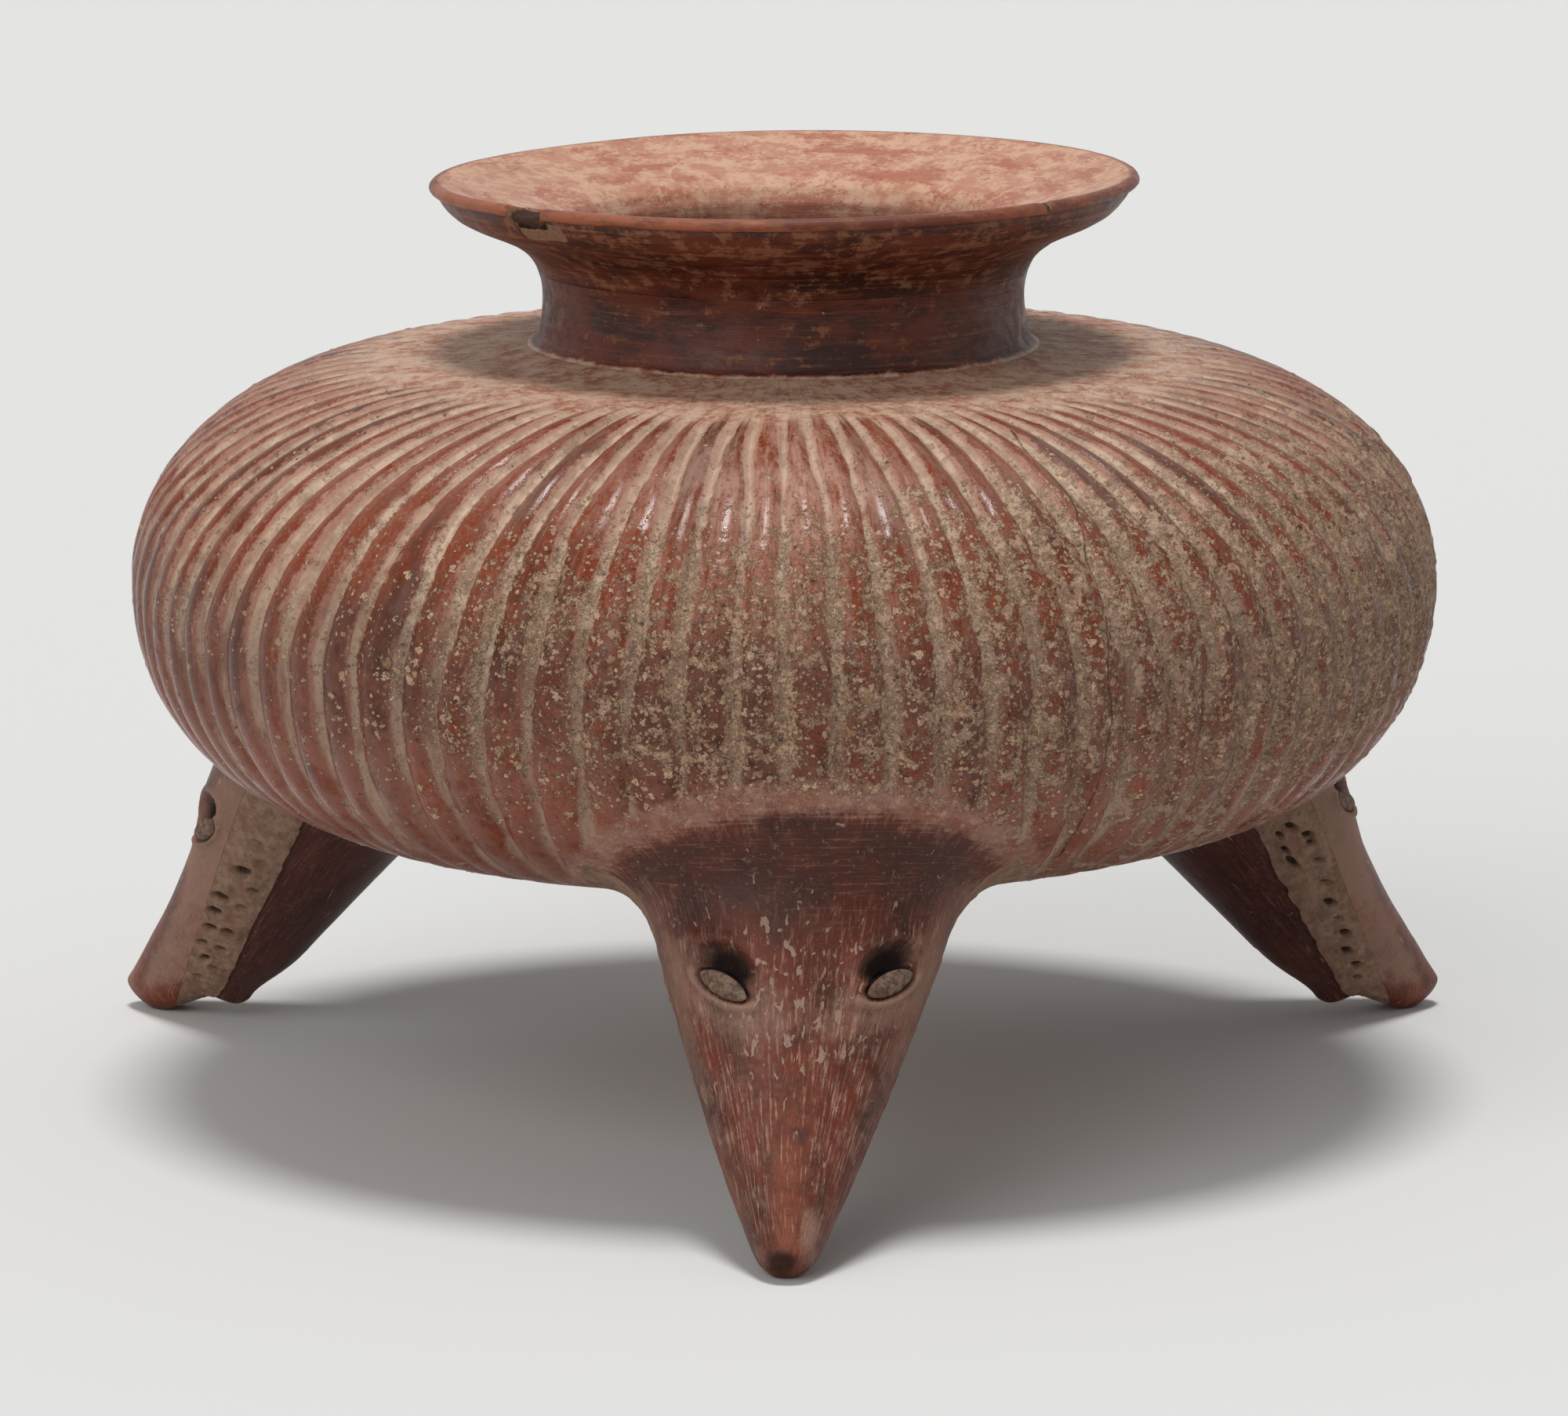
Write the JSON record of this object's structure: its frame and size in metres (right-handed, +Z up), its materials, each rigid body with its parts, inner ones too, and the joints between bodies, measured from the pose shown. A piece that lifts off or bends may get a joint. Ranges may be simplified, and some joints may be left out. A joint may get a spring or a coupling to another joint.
{
  "type": "gadrooned vessel",
  "caption": "Squat red-slipped earthenware jar with vertical gadroons, a flared neck and rolled lip, standing on animal-head supports; holds liquid or dry goods.",
  "frame": {"origin": "on the floor under the middle of the part's box; the jar's own axis stands 18.7 mm behind it (+Y), because the front snout reaches further forward than the belly reaches back", "axes": "+Z up along the jar's axis, -Y towards the front head, +X to the right as seen from the front"},
  "size_m": [0.3519, 0.3673, 0.2358],
  "materials": {
    "belly_slip": "satin",
    "shoulder_slip": "satin",
    "neck_slip": "satin",
    "rim_slip": "satin",
    "lip_slip": "satin",
    "head_slip": "satin",
    "jaw_slip": "satin",
    "tooth_clay": "matte",
    "eye_clay": "matte"
  },
  "bodies": {
    "root": {"base_bowl": "belly_slip", "shoulder_bowl": "shoulder_slip", "neck_collar": "neck_slip", "flared_rim": "rim_slip", "lip_coil": "lip_slip", "head_front": "head_slip", "jaw_front": "jaw_slip", "tooth_strip_front_clockwise": "tooth_clay", "eye_front_clockwise": "eye_clay", "tooth_strip_front_counter": "tooth_clay", "eye_front_counter": "eye_clay", "head_left": "head_slip", "jaw_left": "jaw_slip", "tooth_strip_left_clockwise": "tooth_clay", "eye_left_clockwise": "eye_clay", "tooth_strip_left_counter": "tooth_clay", "eye_left_counter": "eye_clay", "head_right": "head_slip", "jaw_right": "jaw_slip", "tooth_strip_right_clockwise": "tooth_clay", "eye_right_clockwise": "eye_clay", "tooth_strip_right_counter": "tooth_clay", "eye_right_counter": "eye_clay"}
  },
  "joints": []
}
